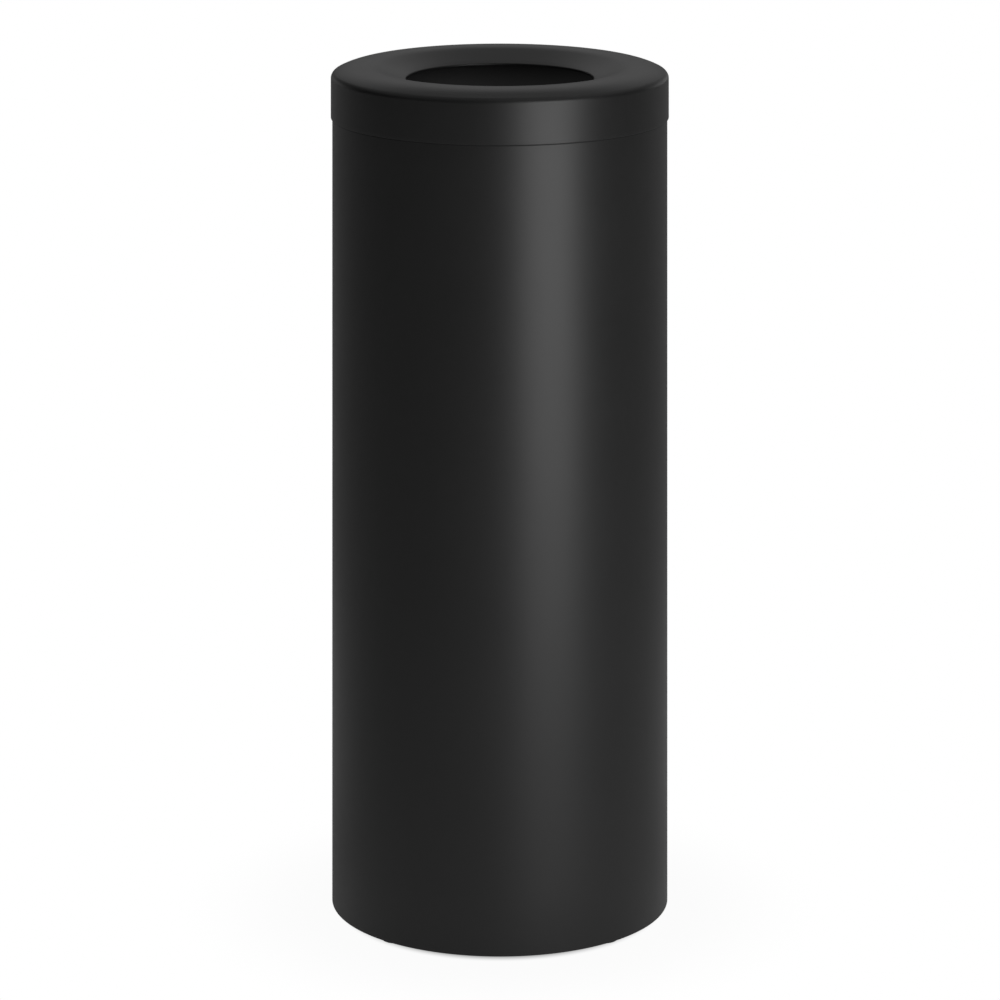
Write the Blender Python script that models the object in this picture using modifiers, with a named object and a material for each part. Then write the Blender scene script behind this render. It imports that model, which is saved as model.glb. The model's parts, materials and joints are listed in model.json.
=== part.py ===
# Round free-standing litter bin with a lift-off open-top lid and a galvanised
# liner bucket.  Metres, +Z up, origin on the ground under the bin's axis,
# front of the bin towards -Y, left towards -X.  Dimensions are in millimetres
# and angles in degrees; heights (_Z, _TOP, _BOTTOM) are above the ground.
import bpy
import bmesh
from math import sin, cos, pi, radians, tan, asin, sqrt
from mathutils import Vector

MM = 0.001

# ---------------------------------------------------------------- dimensions
TURN_STEPS = 48              # facets of every large turned piece
GAP = 0.3                    # clearance between neighbouring pieces
WELD_DISTANCE = 0.00002      # metres; joins the seam and poles of turned pieces

# outer shell
SHELL_RADIUS = 150.0
SHELL_SHEET = 1.0
SHELL_BOTTOM = 5.4           # the feet hold the shell off the ground
SHELL_TOP = 739.2
HEM_HEIGHT = 8.0             # top edge folded inwards over this height
HEM_THICKNESS = 2.1

# lid
LID_RADIUS = 151.35          # outside of the skirt
LID_SHEET = 1.0
LID_SKIRT_BOTTOM = 704.8
LID_TOP = 750.7              # overall height of the bin
LID_CORNER_RADIUS = 6.2      # tight outer corner
LID_CORNER_TILT = 27.0       # slope where the corner meets the crown
LID_CROWN_RADIUS = 48.0      # softer crown above the corner
LID_FLAT_INNER = 120.8       # inner end of the flat ring
LID_SHOULDER_RADIUS = 34.0   # rounding from the ring into the funnel
LID_FUNNEL_TILT = 20.3       # slope of the funnel
THROAT_RADIUS = 84.2         # round waste opening
THROAT_LIP_RADIUS = 1.3      # edge of the opening turned down
THROAT_LIP_HEIGHT = 1.0

# rubber ring between the lid and the shell
BUFFER_INNER, BUFFER_OUTER = 146.4, 149.4
BUFFER_BOTTOM = SHELL_TOP + GAP
BUFFER_TOP = 742.1

# base pan
PAN_SHEET = 1.2
PAN_RADIUS = SHELL_RADIUS - SHELL_SHEET - GAP
PAN_CHANNEL_Z = 11.2         # top of the outer channel
PAN_UNDER_Z = PAN_CHANNEL_Z - PAN_SHEET
PAN_PLATEAU_Z = 23.2         # top of the raised middle
PAN_PLATEAU_RADIUS = 104.0
PAN_FLANGE_BOTTOM = 6.2
PAN_DRAIN_RADIUS = 6.0
PAN_BORE_DEPTH = 6.0         # length of the cutter through the channel

# feet and their fasteners
FOOT_PLACES = {              # signs of x and y
    "front_left": (-1, -1), "front_right": (1, -1),
    "rear_left": (-1, 1), "rear_right": (1, 1),
}
FOOT_CIRCLE_RADIUS = 128.0
FOOT_RADIUS = 13.0
FOOT_HEIGHT = PAN_UNDER_Z - GAP
FOOT_BORE_RADIUS = 2.85
FOOT_POCKET_RADIUS, FOOT_POCKET_HEIGHT = 6.2, 5.3
SCREW_RADIUS = 2.5
SCREW_HEAD_RADIUS, SCREW_HEAD_HEIGHT = 4.6, 2.8
SCREW_TOP = 18.0
WASHER_RADIUS, WASHER_THICKNESS = 5.5, 1.0
WASHER_BOTTOM = PAN_CHANNEL_Z + GAP
WASHER_TOP = WASHER_BOTTOM + WASHER_THICKNESS
NUT_ACROSS_FLATS, NUT_HEIGHT = 8.0, 4.0
NUT_MIDDLE_Z = WASHER_TOP + GAP + NUT_HEIGHT / 2
NUT_BORE_OVERRUN = 2.0       # the cutter sticks out this far at each end

# liner bucket
LINER_RADIUS = 132.0
LINER_SHEET = 0.8
LINER_INNER = LINER_RADIUS - LINER_SHEET
LINER_BOTTOM = PAN_PLATEAU_Z + GAP
RIM_CURL_INNER = 1.95        # inside radius of the rolled rim's section
RIM_CURL_CENTRE = LINER_RADIUS + RIM_CURL_INNER
RIM_CURL_Z = 607.0
RIM_CURL_END = -105.0        # where the roll stops, from outwards towards +Z
RIM_CURL_STEPS = 8
RIM_WIRE_RADIUS = 1.6        # wire inside the rolled rim
BASE_FLANGE_TOP = 37.0
BASE_SHEET = 1.0

# ears on the liner, which carry the bail handle
PIVOT_Z = 588.0
PIVOT_RISE = PIVOT_Z - LINER_BOTTOM
EAR_SHEET = 1.9
EAR_PAD_X = 135.5            # inner face of the flat pad
EAR_PAD_HALF = 8.5           # half width of the pad
EAR_STEP_WIDTH = 4.5         # sideways run from the pad to a wing
EAR_WING_RADIUS = 132.4      # inner face of the curved wings
EAR_WING_STEPS = 3
EAR_HALF = 23.0              # half width of the ear
EAR_HEIGHT = 24.0
EAR_BORE_RADIUS = 2.85

# rivets
RIVET_RADIUS, RIVET_BORE_RADIUS = 2.0, 2.35
RIVET_HEAD_RADIUS = 4.0
RIVET_OFFSET = 17.0          # sideways distance of a rivet from the pivot
RIVET_HEAD_BASE = EAR_WING_RADIUS + EAR_SHEET + GAP + 0.1
RIVET_TAIL_BASE = LINER_INNER - GAP - 0.25
RIVET_BORE_CENTRE = EAR_WING_RADIUS + 0.5
SIDE_BORE_DEPTH = 12.0       # length of the cutters through ears and wall

# bail handle
BAIL_ARC_RADIUS = 142.5      # the hoop lies on this circle about the pivots' middle
BAIL_WIRE_RADIUS = 2.5
BAIL_DROOP = 16.0            # rest position below horizontal
BAIL_HEAD_RADIUS = 3.7
BAIL_HEAD_INNER_X, BAIL_HEAD_OUTER_X = 133.0, 135.1
BAIL_PIN_OVERLAP = 1.0       # the wire starts this far inside its head
BAIL_BEND_RUN = 3.2          # length of the pin taken up by the bend
BAIL_BEND_STEPS = 4
HOOP_START = 4.2             # angle where the hoop proper leaves the bend
HOOP_STEPS = 11              # straight steps in each quarter of the hoop
HOOP_STEP = (90.0 - HOOP_START) / HOOP_STEPS
GRIP_RADIUS, GRIP_BORE_RADIUS = 3.9, 2.98
GRIP_STEPS = 3               # hoop steps covered each side of the middle
GRIP_SIDES = 10

# ------------------------------------------------------------- empty scene
for old in list(bpy.data.objects):
    bpy.data.objects.remove(old, do_unlink=True)


def new_collection(name):
    collection = bpy.data.collections.new(name)
    bpy.context.scene.collection.children.link(collection)
    return collection


PARTS = new_collection("litter_bin")
CUTTERS = new_collection("litter_bin_cutters")


# ---------------------------------------------------------------- materials
# Each finish makes a separate material for the named piece.
def new_material(piece, colour, roughness, metallic):
    material = bpy.data.materials.new(piece + "_finish")
    material.use_nodes = True
    shader = material.node_tree.nodes["Principled BSDF"]
    shader.inputs["Base Color"].default_value = (*colour, 1.0)
    shader.inputs["Roughness"].default_value = roughness
    shader.inputs["Metallic"].default_value = metallic
    material.diffuse_color = (*colour, 1.0)
    return material


def coated(piece):
    return new_material(piece, colour=(0.012, 0.012, 0.012), roughness=0.42, metallic=0.0)


def galvanised(piece):
    return new_material(piece, colour=(0.55, 0.57, 0.58), roughness=0.38, metallic=1.0)


def rubber(piece):
    return new_material(piece, colour=(0.02, 0.02, 0.02), roughness=0.8, metallic=0.0)


def zinc(piece):
    return new_material(piece, colour=(0.66, 0.67, 0.68), roughness=0.28, metallic=1.0)


def pvc(piece):
    return new_material(piece, colour=(0.016, 0.016, 0.017), roughness=0.5, metallic=0.0)


# ------------------------------------------------------------------ helpers
def add_object(name, data, parent=None, location=(0.0, 0.0, 0.0), collection=PARTS):
    """An object at a location in mm; without data it is an empty."""
    obj = bpy.data.objects.new(name, data)
    obj.location = [c * MM for c in location]
    obj.parent = parent
    collection.objects.link(obj)
    return obj


def add_frame(name, height=0.0, parent=None):
    """An empty that carries pieces, at a height above its parent."""
    frame = add_object(name, None, parent, (0.0, 0.0, height))
    frame.empty_display_size = 0.05
    return frame


def mesh_from(bm, name):
    mesh = bpy.data.meshes.new(name)
    bm.to_mesh(mesh)
    bm.free()
    return mesh


def apply_finish(obj, finish, sharp_angle):
    """Smooth shading with edges above sharp_angle kept crisp, and a material."""
    mesh = obj.data
    mesh.shade_smooth()
    mesh.set_sharp_from_angle(angle=radians(sharp_angle))
    mesh.materials.clear()
    mesh.materials.append(finish(obj.name))


def evaluated_mesh(obj):
    depsgraph = bpy.context.evaluated_depsgraph_get()
    depsgraph.update()
    return bpy.data.meshes.new_from_object(obj.evaluated_get(depsgraph))


def point_along(obj, direction):
    """Turn an object so that its own +Z lies along direction."""
    obj.rotation_mode = "QUATERNION"
    obj.rotation_quaternion = Vector((0, 0, 1)).rotation_difference(Vector(direction))


def arc(centre_r, centre_z, radius, start, end, steps):
    """Points on an arc in the r-z plane; angles from +r towards +z."""
    points = []
    for i in range(steps + 1):
        angle = radians(start + (end - start) * i / steps)
        points.append((centre_r + radius * cos(angle), centre_z + radius * sin(angle)))
    return points


def turned(name, profile, finish, parent, closed=True, steps=TURN_STEPS,
           sharp_angle=35.0, location=(0.0, 0.0, 0.0), origin_z=0.0):
    """Turn a profile of (radius, height) points about the local Z axis.  It
    runs outwards and then down its outer side.  A profile that is not closed
    starts and ends on the axis."""
    section = bpy.data.meshes.new(name + "_section")
    edges = [(i, i + 1) for i in range(len(profile) - 1)]
    if closed:
        edges.append((len(profile) - 1, 0))
    section.from_pydata([(r * MM, 0.0, (z - origin_z) * MM) for r, z in profile], edges, [])
    obj = add_object(name, section, parent, location)
    screw = obj.modifiers.new("Turn", "SCREW")
    screw.axis = "Z"
    screw.angle = 2 * pi
    screw.steps = steps
    screw.use_merge_vertices = True
    screw.merge_threshold = WELD_DISTANCE
    if not closed:
        weld = obj.modifiers.new("Close poles", "WELD")
        weld.merge_threshold = WELD_DISTANCE

    # The turned mesh becomes the object's own, so its sharp edges can be set.
    obj.data = evaluated_mesh(obj)
    obj.modifiers.clear()
    bpy.data.meshes.remove(section)
    obj.data.name = name
    apply_finish(obj, finish, sharp_angle)
    return obj


def cylinder_mesh(name, radius, depth, sides):
    bm = bmesh.new()
    bmesh.ops.create_cone(bm, cap_ends=True, cap_tris=False, segments=sides,
                          radius1=radius * MM, radius2=radius * MM, depth=depth * MM)
    return mesh_from(bm, name)


def add_cutter(name, radius, depth, centre, sides, direction=(0, 0, 1)):
    """A hidden helper cylinder for a boolean, its axis along direction."""
    cutter = add_object(name, cylinder_mesh(name, radius, depth, sides),
                        location=centre, collection=CUTTERS)
    point_along(cutter, direction)
    cutter.hide_render = True
    cutter.display_type = "WIRE"
    return cutter


def add_boolean(obj, name, operation, other):
    boolean = obj.modifiers.new(name, "BOOLEAN")
    boolean.operation = operation
    boolean.solver = "EXACT"
    boolean.object = other


def cut(obj, cutter):
    add_boolean(obj, "Cut " + cutter.name, "DIFFERENCE", cutter)


# ------------------------------------------------------- shell and base pan
def build_shell(parent):
    sheet_inner = SHELL_RADIUS - SHELL_SHEET
    hem_inner = SHELL_RADIUS - HEM_THICKNESS
    turned("body_shell", [
        (SHELL_RADIUS - 0.35, SHELL_TOP),
        (SHELL_RADIUS, SHELL_TOP - 0.5),
        (SHELL_RADIUS, SHELL_BOTTOM),
        (sheet_inner, SHELL_BOTTOM),
        (sheet_inner, SHELL_TOP - HEM_HEIGHT),
        (hem_inner, SHELL_TOP - HEM_HEIGHT - 0.4),
        (hem_inner, SHELL_TOP - 0.8),
        (hem_inner + 0.6, SHELL_TOP),
    ], coated, parent)


def build_pan(parent):
    """Raised middle with a drain hole, outer channel and turned-down flange."""
    return turned("base_pan", [
        # upper face, outwards
        (PAN_DRAIN_RADIUS, PAN_PLATEAU_Z),
        (PAN_PLATEAU_RADIUS, PAN_PLATEAU_Z),
        (PAN_PLATEAU_RADIUS + 2.0, PAN_PLATEAU_Z - 1.2),
        (PAN_PLATEAU_RADIUS + 6.2, PAN_CHANNEL_Z + 1.0),
        (PAN_PLATEAU_RADIUS + 8.0, PAN_CHANNEL_Z),
        (PAN_RADIUS - 1.2, PAN_CHANNEL_Z),
        # flange
        (PAN_RADIUS, PAN_CHANNEL_Z - 1.2),
        (PAN_RADIUS, PAN_FLANGE_BOTTOM),
        (PAN_RADIUS - PAN_SHEET, PAN_FLANGE_BOTTOM),
        # under face, inwards
        (PAN_RADIUS - PAN_SHEET, PAN_UNDER_Z),
        (PAN_PLATEAU_RADIUS + 7.4, PAN_UNDER_Z),
        (PAN_PLATEAU_RADIUS + 5.0, PAN_UNDER_Z + 1.2),
        (PAN_PLATEAU_RADIUS + 1.0, PAN_PLATEAU_Z - 2.2),
        (PAN_PLATEAU_RADIUS - 0.6, PAN_PLATEAU_Z - PAN_SHEET),
        (PAN_DRAIN_RADIUS, PAN_PLATEAU_Z - PAN_SHEET),
    ], coated, parent)


# --------------------------------------------------- feet and foot fasteners
def build_foot(place, x, y, parent):
    """Rubber foot with a pocket underneath for the screw's head."""
    turned("foot_" + place, [
        (FOOT_RADIUS - 2.0, FOOT_HEIGHT),
        (FOOT_RADIUS - 0.4, FOOT_HEIGHT - 1.0),
        (FOOT_RADIUS, 1.0),
        (FOOT_RADIUS - 1.0, 0.0),
        (FOOT_POCKET_RADIUS, 0.0),
        (FOOT_POCKET_RADIUS, FOOT_POCKET_HEIGHT),
        (FOOT_BORE_RADIUS, FOOT_POCKET_HEIGHT),
        (FOOT_BORE_RADIUS, FOOT_HEIGHT),
    ], rubber, parent, steps=20, location=(x, y, 0.0))


def build_foot_screw(place, x, y, parent):
    """Screw from below, its head inside the foot's pocket."""
    head_top = FOOT_POCKET_HEIGHT - GAP
    head_bottom = head_top - SCREW_HEAD_HEIGHT
    turned("foot_screw_" + place, [
        (0.0, SCREW_TOP),
        (SCREW_RADIUS - 0.6, SCREW_TOP),
        (SCREW_RADIUS, SCREW_TOP - 0.7),
        (SCREW_RADIUS, head_top),
        (SCREW_HEAD_RADIUS, head_top),
        (SCREW_HEAD_RADIUS, head_bottom + 1.2),
        (SCREW_HEAD_RADIUS - 1.4, head_bottom),
        (0.0, head_bottom),
    ], zinc, parent, closed=False, steps=12, location=(x, y, 0.0))


def build_foot_washer(place, x, y, parent):
    turned("foot_washer_" + place, [
        (FOOT_BORE_RADIUS, WASHER_TOP),
        (WASHER_RADIUS, WASHER_TOP),
        (WASHER_RADIUS, WASHER_BOTTOM),
        (FOOT_BORE_RADIUS, WASHER_BOTTOM),
    ], zinc, parent, steps=16, location=(x, y, 0.0))


def build_foot_nut(place, x, y, parent):
    name = "foot_nut_" + place
    corner_radius = NUT_ACROSS_FLATS / 2 / cos(pi / 6)
    centre = (x, y, NUT_MIDDLE_Z)
    mesh = cylinder_mesh(name, corner_radius, NUT_HEIGHT, sides=6)
    nut = add_object(name, mesh, parent, centre)
    apply_finish(nut, zinc, sharp_angle=35.0)
    cut(nut, add_cutter("nut_bore_" + place, FOOT_BORE_RADIUS,
                        NUT_HEIGHT + 2 * NUT_BORE_OVERRUN, centre, sides=12))


def build_feet(pan, parent):
    """Four feet on the diagonals, each fastened through a bore in the pan."""
    for place, (side_x, side_y) in FOOT_PLACES.items():
        x = side_x * FOOT_CIRCLE_RADIUS * sqrt(0.5)
        y = side_y * FOOT_CIRCLE_RADIUS * sqrt(0.5)
        for build in (build_foot, build_foot_screw, build_foot_washer, build_foot_nut):
            build(place, x, y, parent)
        cut(pan, add_cutter("pan_bore_" + place, FOOT_BORE_RADIUS, PAN_BORE_DEPTH,
                            (x, y, PAN_CHANNEL_Z - PAN_SHEET / 2), sides=12))


# ---------------------------------------------------------------------- lid
def lid_outline(inset, corner_steps, crown_steps, shoulder_steps, lip_steps):
    """The lid's section from the skirt's bottom over the top to the edge of
    the opening, moved into the sheet by inset (0 is the outer face)."""
    corner_tilt, funnel_tilt = radians(LID_CORNER_TILT), radians(LID_FUNNEL_TILT)

    # skirt, tight corner and crown, which ends level at the flat ring
    corner_r = LID_RADIUS - LID_CORNER_RADIUS
    crown_z = LID_TOP - LID_CROWN_RADIUS
    centre_distance = LID_CROWN_RADIUS - LID_CORNER_RADIUS
    crown_r = corner_r - centre_distance * sin(corner_tilt)
    corner_z = crown_z + centre_distance * cos(corner_tilt)
    points = [(LID_RADIUS - inset, LID_SKIRT_BOTTOM)]
    points += arc(corner_r, corner_z, LID_CORNER_RADIUS - inset,
                  0.0, 90.0 - LID_CORNER_TILT, corner_steps)
    points += arc(crown_r, crown_z, LID_CROWN_RADIUS - inset,
                  90.0 - LID_CORNER_TILT, 90.0, crown_steps)[1:]

    # shoulder from the flat ring into the funnel
    shoulder_z = LID_TOP - LID_SHOULDER_RADIUS
    points += arc(LID_FLAT_INNER, shoulder_z, LID_SHOULDER_RADIUS - inset,
                  90.0, 90.0 + LID_FUNNEL_TILT, shoulder_steps)

    # funnel down to the lip, which turns the edge straight down
    funnel_top_r = LID_FLAT_INNER - LID_SHOULDER_RADIUS * sin(funnel_tilt)
    funnel_top_z = shoulder_z + LID_SHOULDER_RADIUS * cos(funnel_tilt)
    lip_r = THROAT_RADIUS + THROAT_LIP_RADIUS
    funnel_end_r = lip_r - THROAT_LIP_RADIUS * sin(funnel_tilt)
    funnel_end_z = funnel_top_z - (funnel_top_r - funnel_end_r) * tan(funnel_tilt)
    lip_z = funnel_end_z - THROAT_LIP_RADIUS * cos(funnel_tilt)
    lip_radius = THROAT_LIP_RADIUS - inset
    points += arc(lip_r, lip_z, lip_radius, 90.0 + LID_FUNNEL_TILT, 180.0, lip_steps)
    points.append((lip_r - lip_radius, lip_z - THROAT_LIP_HEIGHT))
    return points


def build_lid(parent):
    outer = lid_outline(inset=0.0, corner_steps=4, crown_steps=3,
                        shoulder_steps=2, lip_steps=3)
    inner = lid_outline(inset=LID_SHEET, corner_steps=3, crown_steps=2,
                        shoulder_steps=1, lip_steps=2)
    # opening to skirt on the outer face, then back along the inner face
    turned("lid", outer[::-1] + inner, coated, parent, origin_z=SHELL_TOP)


def build_buffer_ring(parent):
    turned("lid_buffer_ring", [
        (BUFFER_INNER + 0.4, BUFFER_TOP),
        (BUFFER_OUTER - 0.5, BUFFER_TOP),
        (BUFFER_OUTER, BUFFER_TOP - 0.6),
        (BUFFER_OUTER, BUFFER_BOTTOM + 0.2),
        (BUFFER_OUTER - 0.3, BUFFER_BOTTOM),
        (BUFFER_INNER, BUFFER_BOTTOM),
    ], rubber, parent, origin_z=SHELL_TOP)


# -------------------------------------------------------------------- liner
def build_liner_wall(parent):
    """Straight wall whose top edge is rolled outwards."""
    # over the roll from the wall's inner face, back inside it, down the wall
    roll_outside = arc(RIM_CURL_CENTRE, RIM_CURL_Z, RIM_CURL_INNER + LINER_SHEET,
                       180.0, RIM_CURL_END, RIM_CURL_STEPS)
    roll_inside = arc(RIM_CURL_CENTRE, RIM_CURL_Z, RIM_CURL_INNER,
                      RIM_CURL_END, 180.0, RIM_CURL_STEPS)
    bottom = [(LINER_RADIUS, LINER_BOTTOM), (LINER_INNER, LINER_BOTTOM)]
    return turned("liner_wall", roll_outside + roll_inside + bottom, galvanised,
                  parent, sharp_angle=50.0, origin_z=LINER_BOTTOM)


def build_rim_wire(parent):
    bpy.ops.mesh.primitive_torus_add(
        major_segments=TURN_STEPS, minor_segments=6,
        major_radius=RIM_CURL_CENTRE * MM, minor_radius=RIM_WIRE_RADIUS * MM)
    torus = bpy.context.object
    mesh = torus.data
    bpy.data.objects.remove(torus, do_unlink=True)
    mesh.name = "liner_rim_wire"
    wire = add_object("liner_rim_wire", mesh, parent, (0.0, 0.0, RIM_CURL_Z - LINER_BOTTOM))
    apply_finish(wire, zinc, sharp_angle=80.0)


def build_liner_base(parent):
    """Disc with a turned-up flange inside the wall."""
    flange_outer = LINER_INNER - GAP
    flange_inner = flange_outer - BASE_SHEET
    floor_z = LINER_BOTTOM + BASE_SHEET
    turned("liner_base", [
        (0.0, floor_z),
        (flange_inner - 2.0, floor_z),
        (flange_inner, floor_z + 2.0),
        (flange_inner, BASE_FLANGE_TOP),
        (flange_outer, BASE_FLANGE_TOP),
        (flange_outer, LINER_BOTTOM + 3.0),
        (flange_outer - 0.9, LINER_BOTTOM + 0.9),
        (flange_outer - 3.0, LINER_BOTTOM),
        (0.0, LINER_BOTTOM),
    ], galvanised, parent, closed=False, origin_z=LINER_BOTTOM)


# ------------------------------------------------------ ears and their rivets
def ear_section():
    """The ear's inner face seen from above: (sideways distance from the
    pivot, distance out from the bin's axis)."""
    wing_start = EAR_PAD_HALF + EAR_STEP_WIDTH
    half = [(0.0, EAR_PAD_X), (EAR_PAD_HALF, EAR_PAD_X)]
    for i in range(EAR_WING_STEPS + 1):
        y = wing_start + (EAR_HALF - wing_start) * i / EAR_WING_STEPS
        half.append((y, sqrt(EAR_WING_RADIUS ** 2 - y ** 2)))
    return [(-y, x) for y, x in reversed(half[1:])] + half


def build_ear(side, sign_x, parent):
    name = "ear_" + side
    bm = bmesh.new()
    rows = []
    for y, x in ear_section():
        rows.append([bm.verts.new((sign_x * x * MM, y * MM, z * MM))
                     for z in (-EAR_HEIGHT / 2, EAR_HEIGHT / 2)])
    for (low, high), (next_low, next_high) in zip(rows, rows[1:]):
        # wound so that the face looks away from the bin's axis
        if sign_x > 0:
            bm.faces.new((low, next_low, next_high, high))
        else:
            bm.faces.new((low, high, next_high, next_low))
    ear = add_object(name, mesh_from(bm, name), parent, (0.0, 0.0, PIVOT_RISE))
    sheet = ear.modifiers.new("Sheet", "SOLIDIFY")
    sheet.thickness = EAR_SHEET * MM
    sheet.offset = 1.0
    sheet.use_even_offset = True
    apply_finish(ear, zinc, sharp_angle=30.0)
    cut(ear, add_cutter("ear_bore_" + side, EAR_BORE_RADIUS, SIDE_BORE_DEPTH,
                        (sign_x * EAR_PAD_X, 0.0, PIVOT_Z), sides=14,
                        direction=(sign_x, 0, 0)))
    return ear


def build_rivet(tag, direction, parent):
    """Rivet along direction: domed head outside the ear, closed tail inside
    the liner.  Its origin is on the bin's axis."""
    head, tail = RIVET_HEAD_BASE, RIVET_TAIL_BASE
    rivet = turned("rivet_" + tag, [
        (0.0, head + 1.7),
        (1.9, head + 1.45),
        (3.3, head + 0.8),
        (RIVET_HEAD_RADIUS, head),
        (RIVET_RADIUS, head),
        (RIVET_RADIUS, tail),
        (RIVET_HEAD_RADIUS - 0.7, tail),
        (RIVET_HEAD_RADIUS - 1.1, tail - 0.9),
        (0.0, tail - 1.1),
    ], zinc, parent, closed=False, steps=12, location=(0.0, 0.0, PIVOT_RISE))
    point_along(rivet, direction)


def build_ears(liner_wall, parent):
    """Both ears, each with a rivet in front of and behind the pivot."""
    rivet_angle = asin(RIVET_OFFSET / (EAR_WING_RADIUS + EAR_SHEET / 2))
    for side, sign_x in (("left", -1), ("right", 1)):
        ear = build_ear(side, sign_x, parent)
        for end, sign_y in (("front", -1), ("rear", 1)):
            angle = rivet_angle * sign_y
            direction = Vector((sign_x * cos(angle), sin(angle), 0.0))
            centre = (direction.x * RIVET_BORE_CENTRE, direction.y * RIVET_BORE_CENTRE,
                      PIVOT_Z)
            tag = side + "_" + end
            for target, label in ((ear, "ear_rivet_bore_"),
                                  (liner_wall, "wall_rivet_bore_")):
                cut(target, add_cutter(label + tag, RIVET_BORE_RADIUS, SIDE_BORE_DEPTH,
                                       centre, sides=12, direction=direction))
            build_rivet(tag, direction, parent)


# ------------------------------------------------------ bail handle and grip
def hoop_point(degrees):
    """Point of the hoop at an angle from +X, drooped towards the front."""
    angle, droop = radians(degrees), radians(BAIL_DROOP)
    reach = BAIL_ARC_RADIUS * sin(angle)
    return Vector((BAIL_ARC_RADIUS * cos(angle), -reach * cos(droop), -reach * sin(droop)))


def bail_line():
    """Centre line of the wire from the right pin round to the left pin."""
    hoop = [hoop_point(HOOP_START + HOOP_STEP * i) for i in range(HOOP_STEPS + 1)]
    bend_start = Vector((BAIL_ARC_RADIUS - BAIL_BEND_RUN, 0, 0))
    bend_corner = Vector((BAIL_ARC_RADIUS, 0, 0))
    right = [Vector((BAIL_HEAD_OUTER_X - BAIL_PIN_OVERLAP, 0, 0)), bend_start]
    for i in range(1, BAIL_BEND_STEPS):
        t = i / BAIL_BEND_STEPS
        right.append((1 - t) ** 2 * bend_start + 2 * t * (1 - t) * bend_corner
                     + t * t * hoop[0])
    right += hoop
    return right + [Vector((-p.x, p.y, p.z)) for p in reversed(right[:-1])]


def wire_mesh(name, points, radius):
    """Round wire along a poly line, as a closed mesh."""
    curve = bpy.data.curves.new(name + "_line", "CURVE")
    curve.dimensions = "3D"
    curve.bevel_depth = radius * MM
    curve.bevel_resolution = 2
    curve.use_fill_caps = True
    curve.twist_mode = "MINIMUM"
    spline = curve.splines.new("POLY")
    spline.points.add(len(points) - 1)
    for spline_point, point in zip(spline.points, points):
        spline_point.co = (point.x * MM, point.y * MM, point.z * MM, 1.0)
    line = add_object(name + "_line", curve)
    mesh = evaluated_mesh(line)
    bpy.data.objects.remove(line, do_unlink=True)
    bpy.data.curves.remove(curve)

    # the end caps come loose from the tube, so they are welded on
    bm = bmesh.new()
    bm.from_mesh(mesh)
    bmesh.ops.remove_doubles(bm, verts=bm.verts, dist=1e-6)
    bmesh.ops.recalc_face_normals(bm, faces=bm.faces)
    bm.to_mesh(mesh)
    bm.free()
    mesh.name = name
    return mesh


def build_bail(parent):
    mesh = wire_mesh("bail_handle", bail_line(), BAIL_WIRE_RADIUS)
    bail = add_object("bail_handle", mesh, parent)
    apply_finish(bail, zinc, sharp_angle=60.0)
    # wider heads keep the wire's ends in the ears
    middle_x = (BAIL_HEAD_INNER_X + BAIL_HEAD_OUTER_X) / 2
    for side, sign_x in (("left", -1), ("right", 1)):
        head = add_cutter("bail_head_" + side, BAIL_HEAD_RADIUS,
                          BAIL_HEAD_OUTER_X - BAIL_HEAD_INNER_X,
                          (sign_x * middle_x, 0, PIVOT_Z), sides=12,
                          direction=(sign_x, 0, 0))
        add_boolean(bail, "Head " + side, "UNION", head)


def build_grip(parent):
    """Tube threaded on the middle of the hoop."""
    bm = bmesh.new()
    rings = []
    for i in range(-GRIP_STEPS, GRIP_STEPS + 1):
        degrees = 90.0 + HOOP_STEP * i
        centre = hoop_point(degrees)
        radial = centre.normalized()
        tangent = (hoop_point(degrees + 0.5) - hoop_point(degrees - 0.5)).normalized()
        sideways = tangent.cross(radial).normalized()
        ring = []
        for k in range(GRIP_SIDES):
            turn = 2 * pi * k / GRIP_SIDES
            offset = GRIP_RADIUS * (cos(turn) * radial + sin(turn) * sideways)
            ring.append(bm.verts.new((centre + offset) * MM))
        rings.append(ring)
    for ring, following in zip(rings, rings[1:]):
        for k in range(GRIP_SIDES):
            n = (k + 1) % GRIP_SIDES
            bm.faces.new((ring[k], ring[n], following[n], following[k]))
    bmesh.ops.recalc_face_normals(bm, faces=bm.faces)
    grip = add_object("bail_grip", mesh_from(bm, "bail_grip"), parent)
    wall = grip.modifiers.new("Tube wall", "SOLIDIFY")
    wall.thickness = (GRIP_RADIUS - GRIP_BORE_RADIUS) * MM
    wall.offset = -1.0
    wall.use_even_offset = True
    apply_finish(grip, pvc, sharp_angle=50.0)


# ----------------------------------------------------------------- assembly
bin_frame = add_frame("bin_frame")
liner_frame = add_frame("liner_frame", LINER_BOTTOM, bin_frame)
lid_frame = add_frame("lid_frame", SHELL_TOP - LINER_BOTTOM, liner_frame)
bail_frame = add_frame("bail_frame", PIVOT_RISE, liner_frame)

build_shell(bin_frame)
build_feet(build_pan(bin_frame), bin_frame)
build_lid(lid_frame)
build_buffer_ring(lid_frame)
wall_piece = build_liner_wall(liner_frame)
build_rim_wire(liner_frame)
build_liner_base(liner_frame)
build_ears(wall_piece, liner_frame)
build_bail(bail_frame)
build_grip(bail_frame)

bpy.context.view_layer.update()
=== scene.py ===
# Looks of the round litter bin: fine meshes, finishes, studio and camera around
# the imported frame.  Metres, +Z up, front of the bin towards -Y.
import json
from math import asin, atan2, ceil, cos, degrees, pi, radians, sin, sqrt, tan

import bmesh
import bpy
from mathutils import Matrix, Vector

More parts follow.
